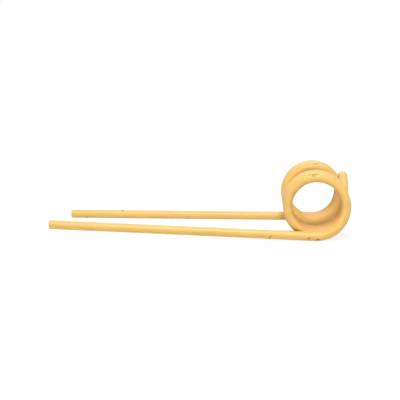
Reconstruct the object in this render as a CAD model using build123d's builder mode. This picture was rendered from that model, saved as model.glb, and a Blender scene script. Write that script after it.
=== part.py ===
import os
from math import atan2, cos, pi, radians, sin

from build123d import *

# Pick-up tine: one length of round spring wire, wound into two coils that a
# loop joins and that end in two straight legs. The origin is on the coil axis,
# midway between the coils. +X points away from the leg tips, the coil axis is
# Y with the front coil at -Y, and +Z is up. Sizes are in millimetres.

# Wire
wire_diameter = 5.5
tip_edge_radius = 0.4

# Coils
coil_bore = 30.3
whole_turns = 4
turn_gap = 0.35
coil_gap = 22.7

# Mounting loop: the straight rise of each side before its round top
loop_rise = 1.8

# Legs: their lengths run from below the coil axis to the cut tips, and the
# lifts are the angles by which the tips stand above level
leg_length = 164
leg_bend_radius = 60
front_leg_lift = 1.95
rear_leg_lift = 0

coil_radius = (coil_bore + wire_diameter) / 2
turn_pitch = wire_diameter + turn_gap
coil_lead_angle = atan2(turn_pitch, 2 * pi * coil_radius)


def coil_centre_line(side, leg_lift):
    """One coil from its loop end out to its leg end; side is -1 at the front, 1 at the rear."""
    turns = whole_turns + 0.25 + leg_lift / 360
    start = Plane((0, side * (coil_gap + wire_diameter) / 2, 0), x_dir=(1, 0, 0), z_dir=(0, side, 0))
    helix = Helix(turn_pitch, turn_pitch * turns, coil_radius, lefthand=side < 0, mode=Mode.PRIVATE)
    return start * helix


def add_leg(side, leg_lift, coil):
    """The short bend out of a coil and the straight leg after it."""
    outward = Vector(0, side, 0)
    along = Vector(-cos(radians(leg_lift)), 0, sin(radians(leg_lift)))
    bend_length = leg_bend_radius * sin(coil_lead_angle)
    bend_shift = leg_bend_radius * (1 - cos(coil_lead_angle))
    bend_start = coil @ 1
    bend_end = bend_start + along * bend_length + outward * bend_shift
    TangentArc(bend_start, bend_end, tangent=coil % 1)
    Line(bend_end, bend_start + along * leg_length + outward * bend_shift)


def add_rise(coil):
    """The straight side of the loop above a coil; returns its upper end."""
    foot = coil @ 0
    top = foot - (coil % 0) * loop_rise
    Line(foot, top)
    return top


with BuildPart() as pickup_tine:
    with BuildLine() as wire_centre:
        front_coil = coil_centre_line(-1, front_leg_lift)
        rear_coil = coil_centre_line(1, rear_leg_lift)
        add(front_coil)
        add(rear_coil)
        add_leg(-1, front_leg_lift, front_coil)
        add_leg(1, rear_leg_lift, rear_coil)
        TangentArc(add_rise(front_coil), add_rise(rear_coil), tangent=(front_coil % 0) * -1)
    centre_wire = wire_centre.wire()
    with BuildSketch(Plane(centre_wire @ 0, z_dir=centre_wire % 0)):
        Circle(wire_diameter / 2)
    sweep(path=centre_wire)
    leg_tips = pickup_tine.faces().filter_by(GeomType.PLANE)
    fillet(leg_tips.edges(), tip_edge_radius)

pickup_tine.part.label = "pickup_tine"

os.makedirs("parts", exist_ok=True)
export_step(pickup_tine.part, "parts/pickup_tine.step")
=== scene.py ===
from math import cos, radians, sin

import bpy
from mathutils import Matrix, Vector
from mathutils.bvhtree import BVHTree


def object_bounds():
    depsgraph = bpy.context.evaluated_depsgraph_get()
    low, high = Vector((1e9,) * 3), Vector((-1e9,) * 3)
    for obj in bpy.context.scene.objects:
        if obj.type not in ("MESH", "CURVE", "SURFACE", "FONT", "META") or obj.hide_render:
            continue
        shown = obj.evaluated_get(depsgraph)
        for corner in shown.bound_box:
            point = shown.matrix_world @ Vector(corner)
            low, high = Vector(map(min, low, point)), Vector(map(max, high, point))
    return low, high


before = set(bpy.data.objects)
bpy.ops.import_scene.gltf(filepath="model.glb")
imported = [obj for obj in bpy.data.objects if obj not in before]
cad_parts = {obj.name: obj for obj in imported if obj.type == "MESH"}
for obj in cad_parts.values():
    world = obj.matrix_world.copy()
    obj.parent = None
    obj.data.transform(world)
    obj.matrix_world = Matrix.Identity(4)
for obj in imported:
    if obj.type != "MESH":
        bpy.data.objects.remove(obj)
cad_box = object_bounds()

# Photograph and its camera
PHOTO_SIDE = 400  # pixels
SENSOR_WIDTH = 36.0  # millimetres
CAMERA_LENS = 98.609  # millimetres
CAMERA_AZIMUTH = -3.03  # degrees, round from square on to the tine's front
CAMERA_ELEVATION = 8.403  # degrees, above level
CAMERA_ROLL = 0.116  # degrees
CAMERA_DISTANCE = 0.70916  # metres, from its target
CAMERA_TARGET = Vector((-0.07355, 0.0, -0.00183))
CAMERA_CLIP_END = 50.0  # metres

# Chips in the paint, each at its pixel in the photograph with its radius in metres
CHIPS_SEEN = (
    ((316.5, 163.5), 0.00085),
    ((315.3, 163.4), 0.0006),
    ((313.9, 163.4), 0.0004),
    ((310.0, 174.5), 0.00055),
    ((317.5, 174.5), 0.0005),
    ((270.4, 236.4), 0.0005),
    ((269.9, 238.2), 0.0007),
    ((308.7, 238.4), 0.0006),
    ((317.4, 239.7), 0.0006),
    ((318.6, 239.8), 0.0006),
    ((122.5, 210.5), 0.0008),
    ((86.2, 217.3), 0.0007),
    ((87.6, 217.5), 0.0007),
)

# Ring-shaped scuff on the front coil, round a spot that keeps its paint
RING_SEEN = (314.1, 175.4)
RING_RADIUS = 0.00125
RING_HOLE_SEEN = (314.3, 175.8)
RING_HOLE_RADIUS = 0.00075
RING_WEAR = 0.85  # share of the bare steel's colour

# Specks on the sides that the photograph doesn't show
SPECK_CELLS = 90.0  # cells to a metre, each with one speck or none
SPECK_RADIUS = 0.08  # in cells
SPECK_SHARE = 0.3  # share of the cells that have a speck
SPECK_FACES_BACK = 0.2  # least Y of the surface's normal at a speck

# Share of a mark's radius inside which the mark is at its full depth
CHIP_CORE = 0.75
RING_CORE = 0.8
RING_HOLE_CORE = 0.6
SPECK_CORE = 0.7

# Torn edges of the marks
EDGE_NOISE = {"Scale": 1400.0, "Detail": 2.0}
NOISE_MIDDLE = (0.5, 0.5, 0.5)
EDGE_SHAKE = 0.0008  # metres of shift for a whole unit of noise

# Paint in linear colours: the coat's two tones, a deep gold for painted crevice shade and the thin
# coat at the tips, and bare steel
PAINT_DEEP = (0.91, 0.55, 0.14, 1.0)
PAINT_LIGHT = (0.95, 0.61, 0.175, 1.0)
SHADE_AND_THIN_PAINT = (0.42, 0.20, 0.012, 1.0)
BARE_STEEL = (0.34, 0.11, 0.003, 1.0)

# Clouds of the two tones
CLOUD_NOISE = {"Scale": 55.0, "Detail": 4.0, "Roughness": 0.6}
CLOUD_RANGE = (0.3, 0.7)  # noise at which the deep and the light tone are full

# Gloss of the paint
PAINT_IOR = 1.5
PAINT_ROUGHNESS = (0.33, 0.43)  # in the deep and the light tone
CHIP_AND_SHADE_ROUGHENS = 0.45  # roughness added at full chips and at the darkest painted crevice shade

# Painted shade in crevices, where the turns shelter each other
CREVICE_REACH = 0.004  # metres within which one turn shelters another
CREVICE_RAYS = 8
CREVICE_OPENNESS = (0.2, 0.8)  # share of the rays that pass where the painted shade is darkest and where it is gone
CREVICE_SHADE_DEPTH = 0.85  # share of the deep gold in the painted shade where it is darkest

# Thin coat at the cut tips
TIP_WEAR = 0.6  # share of the thin coat's colour on the cut
TIP_WEAR_REACH = 0.001  # metres along the legs

# Relief of the coat
PEEL_HEIGHT = 0.00003  # metres for a whole unit of the orange peel's noise
PEEL_NOISE = {"Scale": 520.0, "Detail": 2.0, "Roughness": 0.5}
RUNS_NOISE = {"Scale": 110.0, "Detail": 2.0, "Roughness": 0.4}
RUNS_HEIGHTS = 4.0  # height of the runs, in peel heights
CHIP_HEIGHTS = 4.0  # depth of the chips, in peel heights

# World
WORLD_LOW = 0.07  # strength near the horizon, for matt surfaces
WORLD_HIGH = 0.46  # strength overhead, for matt surfaces
SKY_FADE = (0.2, 0.7)  # heights of a ray, as sines, between which it fades from low to high
WHITE = (1.0, 1.0, 1.0, 1.0)

# Floor
FLOOR_HALF = 8.0  # metres from its middle to its sides
FLOOR_COLOUR = (0.85, 0.85, 0.85, 1.0)  # for the light that it throws back
FLOOR_SHADOW = (0.22, 0.22, 0.22, 1.0)  # takes the tine's shadow, where seen as background
FLOOR_GLOW = 0.85  # under the tine, where seen as background
FLOOR_WHITENS = (0.25, 0.9)  # metres from the origin between which the glow rises to one

# Square lamps that all face one point: name, place and width in metres, and power in watts
LAMP_AIM = Vector((-0.05, 0.0, 0.0))
LAMPS = (
    ("front_softbox", (-0.05, -0.71, 0.84), 0.45, 6.4),
    ("top_softbox", (-0.05, -0.33, 1.05), 0.45, 2.2),
    ("left_softbox", (-1.05, -0.36, 0.28), 0.6, 0.5),
    ("back_softbox", (-0.05, 0.95, 0.55), 0.6, 1.5),
)

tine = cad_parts["pickup_tine"]
tine_surface = BVHTree.FromObject(tine, bpy.context.evaluated_depsgraph_get())


def camera_axes():
    """Right, up and forward directions of the photograph's camera."""
    azimuth, elevation, roll = (radians(a) for a in (CAMERA_AZIMUTH, CAMERA_ELEVATION, CAMERA_ROLL))
    forward = Vector((sin(azimuth) * cos(elevation), cos(azimuth) * cos(elevation), -sin(elevation)))
    level_right = Vector((cos(azimuth), -sin(azimuth), 0.0))
    level_up = level_right.cross(forward)
    right = level_right * cos(roll) + level_up * sin(roll)
    up = level_up * cos(roll) - level_right * sin(roll)
    return right, up, forward


def add_camera():
    """The photograph's camera, as the scene's camera."""
    right, up, forward = camera_axes()
    data = bpy.data.cameras.new("photo_camera")
    data.sensor_width = SENSOR_WIDTH
    data.lens = CAMERA_LENS
    data.clip_end = CAMERA_CLIP_END
    camera = bpy.data.objects.new("photo_camera", data)
    bpy.context.scene.collection.objects.link(camera)
    turn = Matrix((right, up, -forward)).transposed().to_4x4()
    camera.matrix_world = Matrix.Translation(CAMERA_TARGET - forward * CAMERA_DISTANCE) @ turn
    bpy.context.scene.camera = camera


def place_on_tine(pixel):
    """Point of the tine that the photograph shows at a pixel, or the nearest point beside it."""
    right, up, forward = camera_axes()
    focal = CAMERA_LENS / SENSOR_WIDTH * PHOTO_SIDE
    across = (pixel[0] - PHOTO_SIDE / 2) / focal
    above = (PHOTO_SIDE / 2 - pixel[1]) / focal
    ray = (forward + right * across + up * above).normalized()
    start = CAMERA_TARGET - forward * CAMERA_DISTANCE
    hit = tine_surface.ray_cast(start, ray)[0]
    if hit is None:
        hit = tine_surface.find_nearest(start + ray * CAMERA_DISTANCE)[0]
    return hit


def new_material(name):
    """A material with an empty node tree."""
    material = bpy.data.materials.new(name)
    material.use_nodes = True
    material.node_tree.nodes.clear()
    return material


def add_node(tree, kind, **settings):
    """A shader node with its named inputs set; a setting that isn't an input is an attribute."""
    item = tree.nodes.new(kind)
    for name, value in settings.items():
        if name in item.inputs:
            item.inputs[name].default_value = value
        else:
            setattr(item, name, value)
    return item


def math_node(tree, operation, first, second):
    """Result of a math node on two values, each a socket or a number."""
    item = add_node(tree, "ShaderNodeMath", operation=operation)
    for slot, value in enumerate((first, second)):
        if isinstance(value, (int, float)):
            item.inputs[slot].default_value = value
        else:
            tree.links.new(value, item.inputs[slot])
    return item.outputs[0]


def fade(tree, value, span, ends, shape="SMOOTHSTEP"):
    """A value mapped from a span to a pair of ends, and held at the ends outside the span."""
    item = add_node(tree, "ShaderNodeMapRange", interpolation_type=shape)
    for slot, number in zip(("From Min", "From Max", "To Min", "To Max"), (*span, *ends)):
        item.inputs[slot].default_value = number
    tree.links.new(value, item.inputs["Value"])
    return item.outputs["Result"]


def noise(tree, place, settings):
    """A noise texture at a place, with its named settings."""
    item = add_node(tree, "ShaderNodeTexNoise", **settings)
    tree.links.new(place, item.inputs["Vector"])
    return item


def coordinate(tree, vector, axis):
    """One coordinate of a vector socket: X, Y or Z."""
    split = tree.nodes.new("ShaderNodeSeparateXYZ")
    tree.links.new(vector, split.inputs[0])
    return split.outputs[axis]


def mix_colour(tree, factor, first, second):
    """A socket's colour, which turns into a fixed second colour as the factor goes to one."""
    item = add_node(tree, "ShaderNodeMix", data_type="RGBA")
    tree.links.new(factor, item.inputs["Factor"])
    tree.links.new(first, item.inputs["A"])
    item.inputs["B"].default_value = second
    return item.outputs["Result"]


def torn_place(tree, place):
    """Object coordinates shaken by fine noise, so that round marks get torn edges."""
    centred = add_node(tree, "ShaderNodeVectorMath", operation="SUBTRACT")
    tree.links.new(noise(tree, place, EDGE_NOISE).outputs["Color"], centred.inputs[0])
    centred.inputs[1].default_value = NOISE_MIDDLE
    shaken = add_node(tree, "ShaderNodeVectorMath", operation="MULTIPLY_ADD")
    tree.links.new(centred.outputs[0], shaken.inputs[0])
    shaken.inputs[1].default_value = (EDGE_SHAKE, EDGE_SHAKE, EDGE_SHAKE)
    tree.links.new(place, shaken.inputs[2])
    return shaken.outputs[0]


def round_mark(tree, place, pixel, radius, core):
    """One inside a round mark on the tine, at a pixel of the photograph, and nought outside it."""
    gap = add_node(tree, "ShaderNodeVectorMath", operation="DISTANCE")
    tree.links.new(place, gap.inputs[0])
    gap.inputs[1].default_value = place_on_tine(pixel)
    return fade(tree, gap.outputs["Value"], (radius * core, radius), (1.0, 0.0))


def hidden_specks(tree, place):
    """Sparse specks of wear on the sides that the photograph doesn't show."""
    cells = add_node(tree, "ShaderNodeTexVoronoi", Scale=SPECK_CELLS)
    tree.links.new(place, cells.inputs["Vector"])
    rim = (SPECK_RADIUS * SPECK_CORE, SPECK_RADIUS)
    speck = fade(tree, cells.outputs["Distance"], rim, (1.0, 0.0))
    pick = tree.nodes.new("ShaderNodeSeparateColor")
    tree.links.new(cells.outputs["Color"], pick.inputs["Color"])
    chosen = math_node(tree, "GREATER_THAN", pick.outputs["Red"], 1.0 - SPECK_SHARE)
    normal = tree.nodes.new("ShaderNodeTexCoord").outputs["Normal"]
    behind = math_node(tree, "GREATER_THAN", coordinate(tree, normal, "Y"), SPECK_FACES_BACK)
    return math_node(tree, "MULTIPLY", speck, math_node(tree, "MULTIPLY", chosen, behind))


def paint_chips(tree, place):
    """One where the paint is gone down to the steel, and nought where it is whole."""
    ring = round_mark(tree, place, RING_SEEN, RING_RADIUS, RING_CORE)
    hole = round_mark(tree, place, RING_HOLE_SEEN, RING_HOLE_RADIUS, RING_HOLE_CORE)
    chips = math_node(tree, "MULTIPLY", math_node(tree, "SUBTRACT", ring, hole), RING_WEAR)
    for pixel, radius in CHIPS_SEEN:
        chip = round_mark(tree, place, pixel, radius, CHIP_CORE)
        chips = math_node(tree, "MAXIMUM", chips, chip)
    return math_node(tree, "MAXIMUM", chips, hidden_specks(tree, place))


def painted_crevice_shade(tree):
    """How much painted shade darkens the coat where the turns shelter each other."""
    openness = add_node(tree, "ShaderNodeAmbientOcclusion", only_local=True, samples=CREVICE_RAYS)
    openness.inputs["Distance"].default_value = CREVICE_REACH
    return fade(tree, openness.outputs["AO"], CREVICE_OPENNESS, (CREVICE_SHADE_DEPTH, 0.0))


def thin_at_tips(tree, place):
    """How far the coat is thinned at the cut tips of the legs."""
    tip = cad_box[0][0]
    return fade(tree, coordinate(tree, place, "X"), (tip, tip + TIP_WEAR_REACH), (TIP_WEAR, 0.0))


def cloud_tones(tree, clouds):
    """The coat's two tones, by the noise of the clouds."""
    tones = tree.nodes.new("ShaderNodeValToRGB")
    tree.links.new(clouds, tones.inputs["Fac"])
    stops = zip(tones.color_ramp.elements, CLOUD_RANGE, (PAINT_DEEP, PAINT_LIGHT))
    for stop, position, colour in stops:
        stop.position = position
        stop.color = colour
    return tones.outputs["Color"]


def paint_relief(tree, place, chips):
    """Normals of the coat: orange peel, runs, and the steps down into the chips."""
    peel = noise(tree, place, PEEL_NOISE).outputs["Fac"]
    runs = noise(tree, place, RUNS_NOISE).outputs["Fac"]
    height = math_node(tree, "ADD", math_node(tree, "MULTIPLY", runs, RUNS_HEIGHTS), peel)
    height = math_node(tree, "SUBTRACT", height, math_node(tree, "MULTIPLY", chips, CHIP_HEIGHTS))
    bump = add_node(tree, "ShaderNodeBump", Strength=1.0, Distance=PEEL_HEIGHT)
    tree.links.new(height, bump.inputs["Height"])
    return bump.outputs["Normal"]


def paint_material():
    """Worn yellow paint: two tones in clouds, painted shade where the turns shelter each other, a
    thinned coat at the tips, chipped to steel.
    """
    material = new_material("yellow_paint")
    tree = material.node_tree
    output = tree.nodes.new("ShaderNodeOutputMaterial")
    shader = add_node(tree, "ShaderNodeBsdfPrincipled", IOR=PAINT_IOR)
    tree.links.new(shader.outputs["BSDF"], output.inputs["Surface"])
    place = tree.nodes.new("ShaderNodeTexCoord").outputs["Object"]
    torn = torn_place(tree, place)
    chips = paint_chips(tree, torn)
    clouds = noise(tree, place, CLOUD_NOISE).outputs["Fac"]
    # painted shade, darkest where the turns shelter each other
    crevice_shade = painted_crevice_shade(tree)
    shade_and_thin = math_node(tree, "MAXIMUM", crevice_shade, thin_at_tips(tree, torn))

    # deep gold for the painted crevice shade and for the thin coat at the tips
    colour = mix_colour(tree, shade_and_thin, cloud_tones(tree, clouds), SHADE_AND_THIN_PAINT)
    colour = mix_colour(tree, chips, colour, BARE_STEEL)
    tree.links.new(colour, shader.inputs["Base Color"])

    coat_roughness = fade(tree, clouds, CLOUD_RANGE, PAINT_ROUGHNESS, "LINEAR")
    # rougher at the chips and under the painted crevice shade
    chips_and_shade = math_node(tree, "MAXIMUM", chips, crevice_shade)
    added = math_node(tree, "MULTIPLY", chips_and_shade, CHIP_AND_SHADE_ROUGHENS)
    tree.links.new(math_node(tree, "ADD", coat_roughness, added), shader.inputs["Roughness"])
    tree.links.new(paint_relief(tree, place, chips), shader.inputs["Normal"])
    return material


def background_rays(tree):
    """One for the rays that see the white background: the camera's, and those of gloss and glass."""
    path = tree.nodes.new("ShaderNodeLightPath").outputs
    seen = math_node(tree, "MAXIMUM", path["Is Camera Ray"], path["Is Transmission Ray"])
    return math_node(tree, "MAXIMUM", seen, path["Is Glossy Ray"])


def floor_material():
    """White with a soft shadow where it is seen as background, and pale grey for other light."""
    material = new_material("white_floor")
    tree = material.node_tree
    output = tree.nodes.new("ShaderNodeOutputMaterial")
    lit = add_node(tree, "ShaderNodeBsdfDiffuse", Color=FLOOR_COLOUR)
    shadow = add_node(tree, "ShaderNodeBsdfDiffuse", Color=FLOOR_SHADOW)
    glow = tree.nodes.new("ShaderNodeEmission")
    away = add_node(tree, "ShaderNodeVectorMath", operation="LENGTH")
    tree.links.new(tree.nodes.new("ShaderNodeTexCoord").outputs["Object"], away.inputs[0])
    whiten = fade(tree, away.outputs["Value"], FLOOR_WHITENS, (FLOOR_GLOW, 1.0))
    tree.links.new(whiten, glow.inputs["Strength"])
    seen_floor = tree.nodes.new("ShaderNodeAddShader")
    tree.links.new(shadow.outputs[0], seen_floor.inputs[0])
    tree.links.new(glow.outputs[0], seen_floor.inputs[1])
    mix = tree.nodes.new("ShaderNodeMixShader")
    tree.links.new(background_rays(tree), mix.inputs[0])
    tree.links.new(lit.outputs[0], mix.inputs[1])
    tree.links.new(seen_floor.outputs[0], mix.inputs[2])
    tree.links.new(mix.outputs[0], output.inputs["Surface"])
    return material


def add_floor(height):
    """A wide floor under the tine."""
    mesh = bpy.data.meshes.new("floor")
    sides = ((-1, -1), (1, -1), (1, 1), (-1, 1))
    corners = [(x * FLOOR_HALF, y * FLOOR_HALF, height) for x, y in sides]
    mesh.from_pydata(corners, [], [(0, 1, 2, 3)])
    mesh.materials.append(floor_material())
    floor = bpy.data.objects.new("floor", mesh)
    bpy.context.scene.collection.objects.link(floor)


def set_world():
    """A white background, and a dimmer sky that lights the tine."""
    world = bpy.data.worlds.new("studio")
    bpy.context.scene.world = world
    world.use_nodes = True
    tree = world.node_tree
    tree.nodes.clear()
    output = tree.nodes.new("ShaderNodeOutputWorld")
    background = add_node(tree, "ShaderNodeBackground", Color=WHITE)
    direction = tree.nodes.new("ShaderNodeTexCoord").outputs["Generated"]
    sky = fade(tree, coordinate(tree, direction, "Z"), SKY_FADE, (WORLD_LOW, WORLD_HIGH))
    strength = math_node(tree, "MAXIMUM", sky, background_rays(tree))
    tree.links.new(strength, background.inputs["Strength"])
    tree.links.new(background.outputs[0], output.inputs["Surface"])


def add_lamp(name, place, width, watts):
    """A square lamp that faces the lamps' common point."""
    data = bpy.data.lights.new(name, "AREA")
    data.shape = "SQUARE"
    data.size = width
    data.energy = watts
    lamp = bpy.data.objects.new(name, data)
    bpy.context.scene.collection.objects.link(lamp)
    lamp.location = place
    lamp.rotation_euler = (LAMP_AIM - Vector(place)).to_track_quat("-Z", "Y").to_euler()


add_camera()
set_world()
add_floor(cad_box[0][2])
for lamp_settings in LAMPS:
    add_lamp(*lamp_settings)

paint = paint_material()
for slot in tine.material_slots:
    slot.material = paint

bpy.context.scene.view_settings.view_transform = "Standard"
